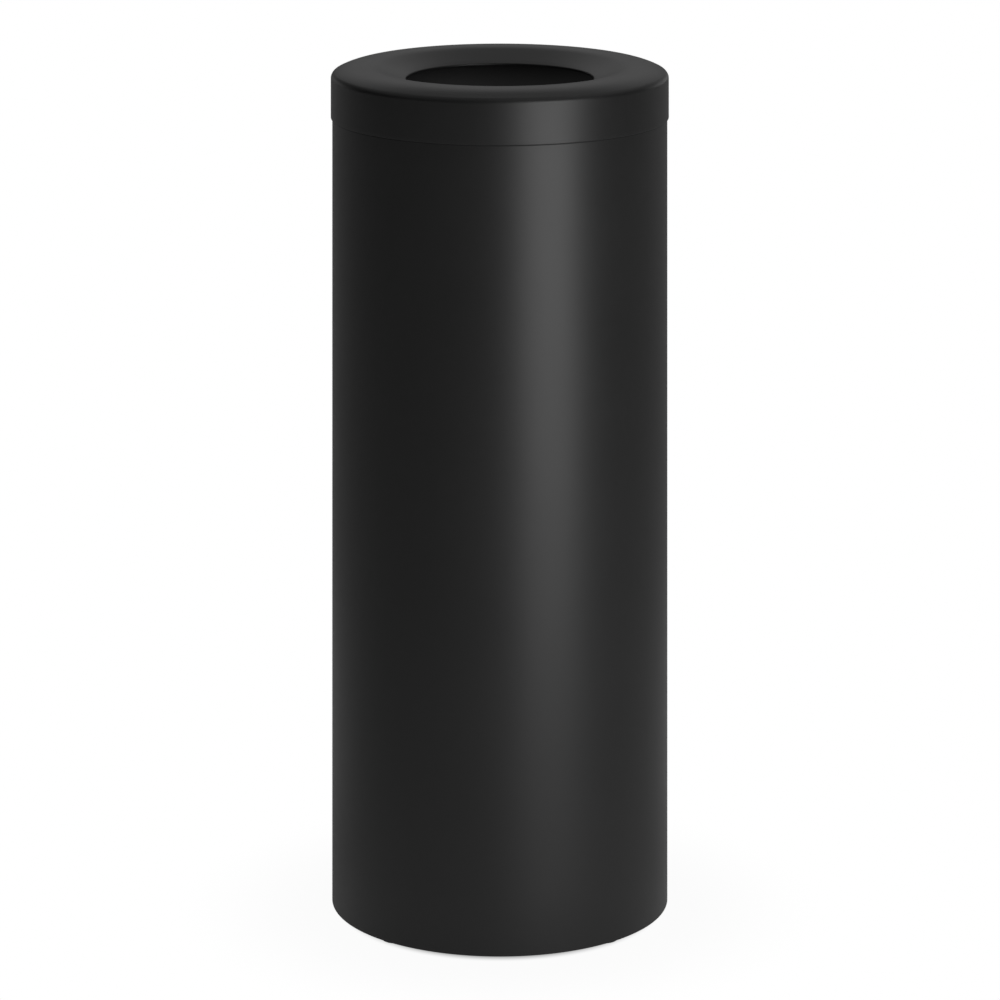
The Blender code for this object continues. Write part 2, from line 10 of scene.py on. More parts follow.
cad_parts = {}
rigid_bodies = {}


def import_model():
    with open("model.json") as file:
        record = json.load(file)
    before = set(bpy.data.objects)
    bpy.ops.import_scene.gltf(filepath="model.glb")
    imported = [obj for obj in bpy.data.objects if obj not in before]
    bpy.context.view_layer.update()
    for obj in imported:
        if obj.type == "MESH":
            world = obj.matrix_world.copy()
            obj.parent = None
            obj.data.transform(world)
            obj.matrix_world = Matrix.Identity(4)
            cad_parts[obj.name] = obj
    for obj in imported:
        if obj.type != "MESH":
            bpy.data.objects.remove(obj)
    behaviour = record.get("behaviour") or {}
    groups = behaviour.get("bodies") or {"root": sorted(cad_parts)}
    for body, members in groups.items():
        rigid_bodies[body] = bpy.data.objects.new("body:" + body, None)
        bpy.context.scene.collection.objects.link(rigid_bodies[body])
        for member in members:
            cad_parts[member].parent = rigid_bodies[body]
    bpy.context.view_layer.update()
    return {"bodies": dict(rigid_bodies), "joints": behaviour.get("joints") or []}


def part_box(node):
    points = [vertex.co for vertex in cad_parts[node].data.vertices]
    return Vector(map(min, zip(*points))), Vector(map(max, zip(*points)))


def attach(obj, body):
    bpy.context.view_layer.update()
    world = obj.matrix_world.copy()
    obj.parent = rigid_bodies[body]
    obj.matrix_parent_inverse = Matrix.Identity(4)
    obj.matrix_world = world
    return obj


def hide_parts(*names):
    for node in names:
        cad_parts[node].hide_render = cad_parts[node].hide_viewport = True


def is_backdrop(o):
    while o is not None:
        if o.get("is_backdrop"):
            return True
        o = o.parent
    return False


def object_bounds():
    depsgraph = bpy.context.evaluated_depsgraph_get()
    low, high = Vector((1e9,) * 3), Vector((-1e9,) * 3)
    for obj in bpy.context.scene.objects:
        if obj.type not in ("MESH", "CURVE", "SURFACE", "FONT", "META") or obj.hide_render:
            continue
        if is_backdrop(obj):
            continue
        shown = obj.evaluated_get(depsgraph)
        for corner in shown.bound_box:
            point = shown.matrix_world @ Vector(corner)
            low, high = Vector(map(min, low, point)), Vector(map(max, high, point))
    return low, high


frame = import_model()
MM = 0.001
SEG = 192                    # facets of the large turned skins

# --------------------------------------------------------------------------
# sizes that come from the frame
# --------------------------------------------------------------------------


def mm_box(node):
    lo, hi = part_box(node)
    return lo / MM, hi / MM


SHELL_LO, SHELL_HI = mm_box("body_shell")
LID_LO, LID_HI = mm_box("lid")
PAN_LO, PAN_HI = mm_box("base_pan")
LINER_LO, LINER_HI = mm_box("liner_wall")
BASE_LO, BASE_HI = mm_box("liner_base")
BUF_LO, BUF_HI = mm_box("lid_buffer_ring")
PIVOT = next(j for j in frame["joints"] if j["name"] == "bail_swing")["pos_m"][2] / MM

SHELL_R = SHELL_HI.x
LID_R = LID_HI.x
LID_TOP = LID_HI.z
PAN_R = PAN_HI.x

# --------------------------------------------------------------------------
# mesh helpers
# --------------------------------------------------------------------------


def fillet(profile, steps=4, closed=True):
    """Profile of (r, z) or (r, z, corner radius) points -> plain points with
    every corner that has a radius replaced by an arc."""
    n = len(profile)
    out = []
    for i, p in enumerate(profile):
        rad = p[2] if len(p) > 2 else 0.0
        if rad <= 0.0 or (not closed and i in (0, n - 1)):
            out.append((p[0], p[1]))
            continue
        a, b = profile[i - 1], profile[(i + 1) % n]
        v = Vector((p[0], p[1]))
        da = Vector((a[0], a[1])) - v
        db = Vector((b[0], b[1])) - v
        half = da.angle(db) / 2
        if half > radians(89.0):
            out.append((p[0], p[1]))
            continue
        cut = min(rad / tan(half), da.length * 0.49, db.length * 0.49)
        rad = cut * tan(half)
        ua, ub = da.normalized(), db.normalized()
        centre = v + (ua + ub).normalized() * (rad / sin(half))
        s, e = v + ua * cut - centre, v + ub * cut - centre
        sweep = s.angle(e)
        sign = 1.0 if s.x * e.y - s.y * e.x > 0 else -1.0
        k = max(2, int(ceil(steps * sweep / (pi / 2))))
        for j in range(k + 1):
            t = sign * sweep * j / k
            out.append((centre.x + s.x * cos(t) - s.y * sin(t),
                        centre.y + s.x * sin(t) + s.y * cos(t)))
    return out


def arc(cx, cz, radius, start, end, steps):
    return [(cx + radius * cos(radians(start + (end - start) * i / steps)),
             cz + radius * sin(radians(start + (end - start) * i / steps)))
            for i in range(steps + 1)]


def split(points, longest):
    """Adds points along long straight runs, so that facets stay compact."""
    out = []
    n = len(points)
    for i in range(n):
        a, b = Vector(points[i]), Vector(points[(i + 1) % n])
        out.append(tuple(a))
        k = int((b - a).length // longest)
        for j in range(1, k + 1):
            out.append(tuple(a.lerp(b, j / (k + 1))))
    return out


def area(points):
    return sum(a[0] * b[1] - b[0] * a[1]
               for a, b in zip(points, points[1:] + points[:1])) / 2


def new_object(name, mesh, angle=32.0):
    mesh.name = name
    mesh.validate()
    mesh.shade_smooth()
    mesh.set_sharp_from_angle(angle=radians(angle))
    obj = bpy.data.objects.new(name, mesh)
    bpy.context.scene.collection.objects.link(obj)
    return obj


def turned(name, profile, segs=SEG, angle=32.0, closed=True, angles=None, swell=None,
           place=None):
    """A solid of revolution about Z.  profile: (r, z) in mm.  A closed profile
    is a ring; an open one starts and ends on the axis.  swell(angle, r, z) adds
    to the radius.  place is a matrix for the finished mesh."""
    if angles is None:
        angles = [2 * pi * i / segs for i in range(segs)]
    pts = list(profile)
    if area(pts) < 0:
        pts.reverse()                     # section runs anticlockwise in r-z
    bm = bmesh.new()
    rows = []
    for a in angles:
        row = []
        for r, z in pts:
            if not closed and r < 1e-6:
                row.append(None)
                continue
            rr = r + (swell(a, r, z) if swell else 0.0)
            row.append(bm.verts.new((rr * cos(a) * MM, rr * sin(a) * MM, z * MM)))
        rows.append(row)
    poles = {}
    if not closed:
        for i, (r, z) in enumerate(pts):
            if r < 1e-6:
                poles[i] = bm.verts.new((0, 0, z * MM))
    m = len(pts)
    pairs = [(i, (i + 1) % m) for i in range(m)]
    if not closed:
        pairs = [(i, j) for i, j in pairs if not (i in poles and j in poles)]
    for k in range(len(angles)):
        ra, rb = rows[k], rows[(k + 1) % len(angles)]
        for i, j in pairs:
            if i in poles:
                bm.faces.new((poles[i], rb[j], ra[j]))
            elif j in poles:
                bm.faces.new((ra[i], poles[j], rb[i]))
            else:
                bm.faces.new((ra[i], ra[j], rb[j], rb[i]))
    bmesh.ops.recalc_face_normals(bm, faces=bm.faces)
    if place is not None:
        bm.transform(place)
    mesh = bpy.data.meshes.new(name)
    bm.to_mesh(mesh)
    bm.free()
    return new_object(name, mesh, angle)


def tube(name, points, radii, sides=20, inner=None, angle=40.0, dome=0.35):
    """Round bar along 3-D points in mm with a radius at each point, ends
    slightly domed, or a hollow sleeve if inner is a bore radius."""
    pts = [Vector(p) for p in points]
    n = len(pts)
    tangents = []
    for i in range(n):
        a, b = pts[max(0, i - 1)], pts[min(n - 1, i + 1)]
        tangents.append((b - a).normalized())
    up = Vector((0, 0, 1)) if abs(tangents[0].z) < 0.9 else Vector((1, 0, 0))
    normal = tangents[0].cross(up).normalized()
    bm = bmesh.new()

    def rings(radius_of):
        nonlocal normal
        made, nrm = [], normal.copy()
        for i in range(n):
            if i:
                nrm.rotate(tangents[i - 1].rotation_difference(tangents[i]))
            side = tangents[i].cross(nrm).normalized()
            rad = radius_of(i)
            made.append([bm.verts.new((pts[i] + rad * (cos(2 * pi * k / sides) * nrm
                                                      + sin(2 * pi * k / sides) * side)) * MM)
                         for k in range(sides)])
        return made

    outer = rings(lambda i: radii[i])
    for ra, rb in zip(outer, outer[1:]):
        for k in range(sides):
            q = (k + 1) % sides
            bm.faces.new((ra[k], ra[q], rb[q], rb[k]))
    if inner is None:
        for row, centre, t, rad in ((outer[0], pts[0], -tangents[0], radii[0]),
                                    (outer[-1], pts[-1], tangents[-1], radii[-1])):
            tip = bm.verts.new((centre + t * rad * dome * 0.5) * MM)
            for k in range(sides):
                bm.faces.new((row[k], row[(k + 1) % sides], tip))
    else:
        bore = rings(lambda i: inner)
        for ra, rb in zip(bore, bore[1:]):
            for k in range(sides):
                q = (k + 1) % sides
                bm.faces.new((ra[k], rb[k], rb[q], ra[q]))
        for ro, ri in ((outer[0], bore[0]), (outer[-1], bore[-1])):
            for k in range(sides):
                q = (k + 1) % sides
                bm.faces.new((ro[k], ri[k], ri[q], ro[q]))
    bmesh.ops.recalc_face_normals(bm, faces=bm.faces)
    mesh = bpy.data.meshes.new(name)
    bm.to_mesh(mesh)
    bm.free()
    return new_object(name, mesh, angle)


def apply_all(obj, angle=32.0):
    """Freezes the modifiers into the mesh."""
    bpy.context.view_layer.update()
    graph = bpy.context.evaluated_depsgraph_get()
    mesh = bpy.data.meshes.new_from_object(obj.evaluated_get(graph))
    obj.modifiers.clear()
    old, obj.data = obj.data, mesh
    bpy.data.meshes.remove(old)
    mesh.name = obj.name
    mesh.shade_smooth()
    mesh.set_sharp_from_angle(angle=radians(angle))
    return obj


def boolean(obj, tool, operation="DIFFERENCE", angle=32.0):
    mod = obj.modifiers.new("bool", "BOOLEAN")
    mod.operation = operation
    mod.solver = "EXACT"
    mod.object = tool
    apply_all(obj, angle)
    mesh = tool.data
    bpy.data.objects.remove(tool, do_unlink=True)
    bpy.data.meshes.remove(mesh)
    return obj


def rod(radius, length, centre, direction, sides=32):
    """A plain round tool for cutting, in mm."""
    turn = Vector((0, 0, 1)).rotation_difference(Vector(direction)).to_matrix().to_4x4()
    place = Matrix.Translation(Vector(centre) * MM) @ turn
    return turned("tool", [(0.0, length / 2), (radius, length / 2), (radius, -length / 2),
                           (0.0, -length / 2)], sides, closed=False, place=place)


# --------------------------------------------------------------------------
# finishes
# --------------------------------------------------------------------------


class Nodes:
    """Small builder for node materials; every texture uses object space, so
    scales are per metre and the grain stays on the piece when it moves."""

    def __init__(self, name):
        self.mat = bpy.data.materials.new(name)
        self.mat.use_nodes = True
        self.t = self.mat.node_tree
        self.bsdf = self.t.nodes["Principled BSDF"]
        self.coord = self.t.nodes.new("ShaderNodeTexCoord").outputs["Object"]

    def link(self, a, b):
        self.t.links.new(a, b)

    def stretch(self, scale):
        m = self.t.nodes.new("ShaderNodeMapping")
        m.inputs["Scale"].default_value = scale
        self.link(self.coord, m.inputs["Vector"])
        return m.outputs["Vector"]

    def noise(self, scale, detail=2.0, rough=0.5, vector=None, out="Fac"):
        n = self.t.nodes.new("ShaderNodeTexNoise")
        n.inputs["Scale"].default_value = scale
        n.inputs["Detail"].default_value = detail
        n.inputs["Roughness"].default_value = rough
        self.link(vector or self.coord, n.inputs["Vector"])
        return n.outputs[out]

    def voronoi(self, scale, feature="F1", out="Color", vector=None):
        n = self.t.nodes.new("ShaderNodeTexVoronoi")
        n.feature = feature
        n.inputs["Scale"].default_value = scale
        self.link(vector or self.coord, n.inputs["Vector"])
        return n.outputs[out]

    def remap(self, value, a, b, c, d, clamp=True):
        n = self.t.nodes.new("ShaderNodeMapRange")
        n.clamp = clamp
        for key, v in (("From Min", a), ("From Max", b), ("To Min", c), ("To Max", d)):
            n.inputs[key].default_value = v
        self.link(value, n.inputs["Value"])
        return n.outputs["Result"]

    def fade(self, value, start, stop, low=0.0, high=1.0):
        n = self.t.nodes.new("ShaderNodeMapRange")
        n.interpolation_type = "SMOOTHSTEP"
        for key, v in (("From Min", start), ("From Max", stop),
                       ("To Min", low), ("To Max", high)):
            n.inputs[key].default_value = v
        self.link(value, n.inputs["Value"])
        return n.outputs["Result"]

    def math(self, op, a, b=None):
        n = self.t.nodes.new("ShaderNodeMath")
        n.operation = op
        for i, v in enumerate((a, b)):
            if v is None:
                continue
            if isinstance(v, (int, float)):
                n.inputs[i].default_value = v
            else:
                self.link(v, n.inputs[i])
        return n.outputs["Value"]

    def mix(self, fac, a, b):
        n = self.t.nodes.new("ShaderNodeMix")
        n.data_type = "RGBA"
        if isinstance(fac, (int, float)):
            n.inputs["Factor"].default_value = fac
        else:
            self.link(fac, n.inputs["Factor"])
        for key, v in ((6, a), (7, b)):
            if isinstance(v, tuple):
                n.inputs[key].default_value = (*v, 1.0)
            else:
                self.link(v, n.inputs[key])
        return n.outputs[2]

    def axis(self, which):
        n = self.t.nodes.new("ShaderNodeSeparateXYZ")
        self.link(self.coord, n.inputs[0])
        return n.outputs[which]

    def split(self, vector, which):
        n = self.t.nodes.new("ShaderNodeSeparateXYZ")
        self.link(vector, n.inputs[0])
        return n.outputs[which]

    def bump(self, height, distance, strength=1.0, below=None):
        n = self.t.nodes.new("ShaderNodeBump")
        n.inputs["Strength"].default_value = strength
        n.inputs["Distance"].default_value = distance
        self.link(height, n.inputs["Height"])
        if below is not None:
            self.link(below, n.inputs["Normal"])
        return n.outputs["Normal"]

    def set(self, **kw):
        for key, v in kw.items():
            socket = self.bsdf.inputs[key.replace("_", " ")]
            if isinstance(v, (int, float)):
                socket.default_value = v
            elif isinstance(v, tuple):
                socket.default_value = (*v, 1.0)
            else:
                self.link(v, socket)
        return self.mat


COAT_ROUGH = 0.40
COAT_BASE = 0.0118
COAT_SPEC = 0.5


def powder_coat(name, inside=False, painted_shade_line_z=None):
    """Satin black polyester powder: very fine orange peel and slightly uneven
    gloss.  The third argument is the height in mm of a thin line of painted
    shade, with much less gloss and a lighter base, that stands in for the
    shadow just under an edge that sits over the coat."""
    n = Nodes(name)
    cloud = n.noise(9.0, 3.0, 0.55)
    streak = n.noise(3.0, 2.0, 0.5, n.stretch((6.0, 6.0, 0.6)))
    fine = n.noise(1500.0, 2.0, 0.6)
    peel = n.noise(420.0, 1.0, 0.5)
    spread = n.math("ADD", n.remap(cloud, 0.3, 0.7, -0.012, 0.012),
                    n.remap(streak, 0.3, 0.7, -0.006, 0.006))
    rough = n.math("ADD", spread, COAT_ROUGH + (0.10 if inside else 0.0))
    rough = n.math("ADD", rough, n.remap(fine, 0.3, 0.7, -0.010, 0.010))
    # the inside copy is painted shade: half the tone, and less gloss below
    tone = COAT_BASE * (0.5 if inside else 1.0)
    dark = (tone * 0.94,) * 3
    light = (tone * 1.06,) * 3
    colour = n.mix(n.remap(cloud, 0.35, 0.65, 0.0, 1.0), dark, light)
    normal = n.bump(peel, 0.000012, 0.35)
    normal = n.bump(fine, 0.000005, 0.35, normal)
    gloss = COAT_SPEC * (0.6 if inside else 1.0)
    # painted shade: a thin band with much less gloss and a lighter base, standing in for the
    # shadow line under the lid skirt
    if painted_shade_line_z is not None:
        off = n.math("ABSOLUTE", n.math("SUBTRACT", n.axis(2), painted_shade_line_z * MM))
        clear = n.remap(off, 0.00035, 0.00060, 0.0, 1.0)
        gloss = n.remap(clear, 0.0, 1.0, COAT_SPEC * 0.22, COAT_SPEC)
        colour = n.mix(clear, (tone * 1.7,) * 3, colour)
    if inside:
        # a trace of glow stands in for the light that bounces about inside
        high = n.remap(n.axis(2), (SHELL_HI.z - 29.0) * MM, (SHELL_HI.z - 9.0) * MM,
                       0.0084, 0.0012)
        deep = n.fade(n.axis(2), (SHELL_HI.z - 330.0) * MM, (SHELL_HI.z - 40.0) * MM,
                      0.15, 1.0)
        n.set(Emission_Color=(1.0, 1.0, 1.0),
              Emission_Strength=n.math("MULTIPLY", high, deep))
    return n.set(Base_Color=colour, Roughness=rough, Metallic=0.0,
                 Specular_IOR_Level=gloss, Normal=normal)


def galvanised(name, spangle=70.0):
    """Zinc-dipped sheet: soft spangle with a slightly different grey and gloss
    in each crystal, and a fine dull grain over it."""
    n = Nodes(name)
    warp = n.noise(40.0, 2.0, 0.5, out="Color")
    add = n.t.nodes.new("ShaderNodeVectorMath")
    add.operation = "MULTIPLY_ADD"
    n.link(warp, add.inputs[0])
    add.inputs[1].default_value = (0.006, 0.006, 0.006)
    n.link(n.coord, add.inputs[2])
    vec = add.outputs[0]
    cell = n.split(n.voronoi(spangle, vector=vec), 0)
    edge = n.voronoi(spangle, "DISTANCE_TO_EDGE", "Distance", vec)
    fine = n.noise(900.0, 3.0, 0.65)
    cloud = n.noise(7.0, 3.0, 0.6)
    tone = n.math("ADD", n.remap(cell, 0.0, 1.0, -0.055, 0.055),
                  n.remap(cloud, 0.3, 0.7, -0.03, 0.03))
    fac = n.math("ADD", tone, 0.5)
    colour = n.mix(n.remap(fac, 0.35, 0.65, 0.0, 1.0),
                   (0.40, 0.425, 0.44), (0.60, 0.615, 0.625))
    rough = n.math("ADD", n.remap(cell, 0.0, 1.0, 0.30, 0.46),
                   n.remap(fine, 0.3, 0.7, -0.03, 0.03))
    normal = n.bump(n.remap(edge, 0.0, 0.05, 0.0, 1.0), 0.00002, 0.25)
    normal = n.bump(fine, 0.00001, 0.3, normal)
    return n.set(Base_Color=colour, Roughness=rough, Metallic=1.0, Normal=normal)


def zinc_plate(name, along=None):
    """Bright zinc plate with faint drawing or turning lines."""
    n = Nodes(name)
    vec = n.stretch(along) if along else None
    lines = n.noise(700.0, 2.0, 0.5, vec)
    cloud = n.noise(60.0, 3.0, 0.6)
    colour = n.mix(n.remap(cloud, 0.3, 0.7, 0.0, 1.0),
                   (0.56, 0.565, 0.57), (0.70, 0.70, 0.69))
    rough = n.math("ADD", n.remap(lines, 0.3, 0.7, 0.20, 0.32),
                   n.remap(cloud, 0.3, 0.7, -0.02, 0.06))
    normal = n.bump(lines, 0.000008, 0.5)
    return n.set(Base_Color=colour, Roughness=rough, Metallic=1.0, Normal=normal)


def rubber(name):
    """Matt moulded rubber with a dusty bloom."""
    n = Nodes(name)
    fine = n.noise(1800.0, 2.0, 0.6)
    cloud = n.noise(55.0, 3.0, 0.6)
    colour = n.mix(n.remap(cloud, 0.35, 0.7, 0.0, 1.0),
                   (0.014, 0.014, 0.014), (0.028, 0.028, 0.027))
    rough = n.math("ADD", n.remap(cloud, 0.3, 0.7, 0.70, 0.82),
                   n.remap(fine, 0.3, 0.7, -0.04, 0.04))
    return n.set(Base_Color=colour, Roughness=rough, Specular_IOR_Level=0.35,
                 Normal=n.bump(fine, 0.00003, 0.5))


def pvc(name):
    """Extruded black PVC sleeve: soft sheen and faint lengthwise die lines."""
    n = Nodes(name)
    lines = n.noise(500.0, 2.0, 0.5, n.stretch((0.05, 1.0, 1.0)))
    cloud = n.noise(45.0, 2.0, 0.5)
    colour = n.mix(n.remap(cloud, 0.3, 0.7, 0.0, 1.0),
                   (0.012, 0.012, 0.013), (0.019, 0.019, 0.020))
    rough = n.math("ADD", n.remap(lines, 0.3, 0.7, 0.40, 0.52),
                   n.remap(cloud, 0.3, 0.7, -0.03, 0.03))
    return n.set(Base_Color=colour, Roughness=rough, Specular_IOR_Level=0.5,
                 Normal=n.bump(lines, 0.00002, 0.4))


MAT = {
    "coat": powder_coat("powder_coat_black"),
    # the shell's coat carries a painted shadow line just under the lid skirt
    "coat_shell": powder_coat("powder_coat_black_shell", painted_shade_line_z=LID_LO.z - 0.55),
    # a darker, duller copy with a painted glow: painted shade and light inside the shell and
    # under the lid
    "coat_inside": powder_coat("powder_coat_black_inside", inside=True),
    "galv": galvanised("galvanised_sheet"),
    "zinc": zinc_plate("zinc_plated_steel"),
    "zinc_x": zinc_plate("zinc_plated_wire", (0.08, 1.0, 1.0)),
    "rubber": rubber("moulded_rubber"),
    "pvc": pvc("pvc_sleeve"),
}


def dress(obj, body, node, slot, *mats):
    obj.data.materials.clear()
    for m in mats:
        obj.data.materials.append(MAT[m])
    for key in ("UVMap",):
        if key in obj.data.uv_layers:
            obj.data.uv_layers.remove(obj.data.uv_layers[key])
    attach(obj, body)
    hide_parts(node)
    return obj


def inner_faces(obj, test):
    """Second material slot on the faces for which test(centre, normal)."""
    for p in obj.data.polygons:
        if test(p.center, p.normal):
            p.material_index = 1


# --------------------------------------------------------------------------
# body shell: rolled sheet with a folded top edge and a dressed weld at the back
# --------------------------------------------------------------------------
t = 1.0
hem_t, hem_h = 2.1, 8.0
profile = fillet([
    (SHELL_R, SHELL_HI.z, 1.0), (SHELL_R, SHELL_LO.z, 0.35),
    (SHELL_R - t, SHELL_LO.z, 0.35), (SHELL_R - t, SHELL_HI.z - hem_h - 0.1, 0.1),
    (SHELL_R - hem_t, SHELL_HI.z - hem_h, 0.4), (SHELL_R - hem_t, SHELL_HI.z, 1.0),
], steps=5)
profile = split(profile, 60.0)
SEAM = radians(90.0)
fine_angles = sorted(set([round(2 * pi * i / 224, 6) for i in range(224)
                          if abs(2 * pi * i / 224 - SEAM) > radians(2.2)]
                         + [round(SEAM + radians(d), 6) for d in
                            (-1.9, -1.4, -1.1, -0.85, -0.6, -0.4, -0.2, 0.0,
                             0.2, 0.4, 0.6, 0.85, 1.1, 1.4, 1.9)]))


def weld(a, r, z):
    d = degrees(a - SEAM)
    if r < SHELL_R - 0.5 * t or abs(d) > 1.1:
        return 0.0
    top = min(1.0, max(0.0, (LID_LO.z - 4.0 - z) / 30.0))   # dressed flat under the skirt
    return 0.14 * cos(d / 1.1 * pi / 2) ** 2 * top


shell = turned("shell_skin", profile, angles=fine_angles, swell=weld)
dress(shell, "bin", "body_shell", "powder_coat", "coat_shell", "coat_inside")
inner_faces(shell, lambda c, n: n.x * c.x + n.y * c.y < -0.001)

# --------------------------------------------------------------------------
# lid: spun sheet, corner, crown, flat ring, funnel and turned-down lip
# --------------------------------------------------------------------------
CORNER_R, CORNER_TILT = 6.2, 27.0
CROWN_R, FLAT_IN = 48.0, 120.8
SHOULDER_R, FUNNEL = 34.0, 20.3
THROAT_R, LIP_R, LIP_H = 84.2, 1.3, 1.0


def lid_line(offset, k):
    tc, tf = radians(CORNER_TILT), radians(FUNNEL)
    crown_cz = LID_TOP - CROWN_R
    corner_cx = LID_R - CORNER_R
    crown_cx = corner_cx - (CROWN_R - CORNER_R) * sin(tc)
    corner_cz = crown_cz + (CROWN_R - CORNER_R) * cos(tc)
    shoulder_cz = LID_TOP - SHOULDER_R
    pts = arc(corner_cx, corner_cz, CORNER_R - offset, 0.0, 90.0 - CORNER_TILT, 3 * k)
    pts += arc(crown_cx, crown_cz, CROWN_R - offset, 90.0 - CORNER_TILT, 90.0, 3 * k)[1:]
    n = 3
    for i in range(1, n):
        pts.append((crown_cx + (FLAT_IN - crown_cx) * i / n, LID_TOP - offset))
    pts += arc(FLAT_IN, shoulder_cz, SHOULDER_R - offset, 90.0, 90.0 + FUNNEL, 2 * k)
    sx = FLAT_IN - SHOULDER_R * sin(tf)
    sz = shoulder_cz + SHOULDER_R * cos(tf)
    lip_cx = THROAT_R + LIP_R
    touch_x = lip_cx - LIP_R * sin(tf)
    touch_z = sz - (sx - touch_x) * tan(tf)
    lip_cz = touch_z - LIP_R * cos(tf)
    a = Vector(pts[-1])
    b = Vector(arc(lip_cx, lip_cz, LIP_R - offset, 90.0 + FUNNEL, 180.0, 1)[0])
    for i in (1, 2, 3):
        pts.append(tuple(a.lerp(b, i / 4)))
    pts += arc(lip_cx, lip_cz, LIP_R - offset, 90.0 + FUNNEL, 180.0, 2 * k)
    return pts, lip_cz


outer, lip_cz = lid_line(0.0, 3)
inner, _ = lid_line(1.0, 2)
skirt = LID_LO.z
edge = 0.42
lip_low = lip_cz - LIP_H
profile = (fillet([(LID_R - 1.0, skirt + 4, 0), (LID_R - 1.0, skirt, edge),
                   (LID_R, skirt, edge), (LID_R, skirt + 4, 0)], 5)
           + [(LID_R, skirt + 16.0)] + outer
           + fillet([(THROAT_R, lip_low + 1.0, 0), (THROAT_R, lip_low, edge),
                     (THROAT_R + 1.0, lip_low, edge), (THROAT_R + 1.0, lip_low + 1.0, 0)], 5)
           + list(reversed(inner)) + [(LID_R - 1.0, skirt + 16.0)])
lid = turned("lid_skin", profile, segs=256)
dress(lid, "lid", "lid", "powder_coat", "coat", "coat_inside")


def lid_under(c, n):
    r = sqrt(c.x ** 2 + c.y ** 2) / MM
    if c.z / MM > LID_TOP - 12.5 and n.z < -0.05:
        return True
    return r > 140 and n.x * c.x + n.y * c.y < -0.001 and n.z < 0.3 and r < LID_R - 0.8


inner_faces(lid, lid_under)

# rubber ring between lid and shell, with a soft bead on its underside
profile = fillet([
    (BUF_LO.x * 0 + 146.4, BUF_HI.z, 0.5), (149.4, BUF_HI.z, 0.9), (149.4, BUF_LO.z, 0.8),
    (148.5, BUF_LO.z, 0.3), (148.2, BUF_LO.z + 0.5, 0.3), (147.6, BUF_LO.z + 0.5, 0.3),
    (147.3, BUF_LO.z, 0.3), (146.4, BUF_LO.z, 0.7)], 4)
ring = turned("buffer_skin", profile, segs=160)
dress(ring, "lid", "lid_buffer_ring", "rubber", "rubber")

# --------------------------------------------------------------------------
# base pan with its foot holes
# --------------------------------------------------------------------------
top, channel, flange = PAN_HI.z, 11.2, PAN_LO.z
pt = 1.2
profile = fillet([
    (6.0, top, 0.35), (104.6, top, 3.2), (111.6, channel, 3.0), (PAN_R, channel, 2.2),
    (PAN_R, flange, 0.4), (PAN_R - pt, flange, 0.4), (PAN_R - pt, channel - pt, 1.0),
    (110.9, channel - pt, 4.2), (103.9, top - pt, 2.0), (6.0, top - pt, 0.35)], 4)
pan = turned("pan_skin", split(profile, 30.0), segs=128)
FEET = ("front_left", "front_right", "rear_left", "rear_right")


def centre(node):
    lo, hi = mm_box(node)
    return (lo + hi) / 2


for place in FEET:
    c = centre("foot_" + place)
    boolean(pan, rod(2.85, 10.0, (c.x, c.y, channel), (0, 0, 1)))
dress(pan, "bin", "base_pan", "powder_coat", "coat")

